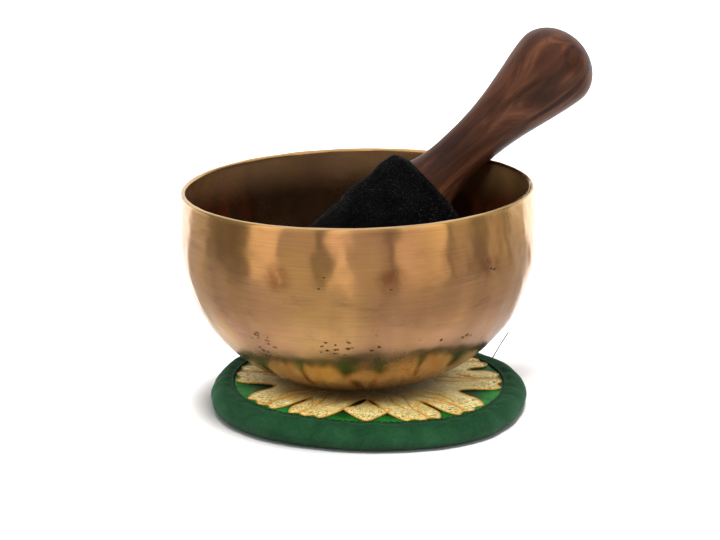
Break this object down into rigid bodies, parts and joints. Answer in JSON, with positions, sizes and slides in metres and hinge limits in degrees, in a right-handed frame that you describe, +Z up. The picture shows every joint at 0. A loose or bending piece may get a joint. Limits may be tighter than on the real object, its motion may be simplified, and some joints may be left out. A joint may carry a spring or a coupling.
{
  "type": "singing bowl",
  "caption": "Hammered bronze singing bowl on a round green brocade cushion, with a felt-headed wooden mallet leaning inside it.",
  "frame": {"origin": "centre of the cushion's flat underside, on the floor", "axes": "+Z up, +X towards the side that the mallet's knob points to, +Y away from the front"},
  "size_m": [0.1532, 0.13, 0.1321],
  "materials": {
    "bronze": "hand-hammered bronze, brushed round and aged, satin",
    "rosewood": "dark turned rosewood, oiled satin",
    "black_felt": "thick black wool felt, matt and fuzzy",
    "grey_wool": "wound wool felt padding, matt",
    "green_velvet": "dark green short-pile velvet",
    "green_satin": "bright green satin, soft sheen",
    "gold_brocade": "gold thread brocade with orange-brown outlines",
    "green_cotton": "green plain-weave cotton",
    "cotton_wadding": "loose cotton wadding",
    "green_thread": "dark green twisted sewing thread"
  },
  "bodies": {
    "cushion": {"base_cloth": "green_cotton", "cushion_filling": "cotton_wadding", "satin_top": "green_satin", "lotus_applique": "gold_brocade", "border_band": "green_velvet", "border_wadding": "cotton_wadding", "seam_thread_top": "green_thread", "seam_thread_base": "green_thread"},
    "bowl": {"bowl": "bronze"},
    "mallet": {"mallet_handle": "rosewood", "felt_padding": "grey_wool", "felt_cover": "black_felt", "felt_end_disc": "black_felt"}
  },
  "joints": [
    {"name": "bowl_lift", "type": "slide", "parent": "cushion", "child": "bowl", "axis": [0, 0, 1], "range_m": [0, 0.08]},
    {"name": "mallet_lift", "type": "slide", "parent": "bowl", "child": "mallet", "axis": [0, 0, 1], "range_m": [0, 0.1]}
  ]
}
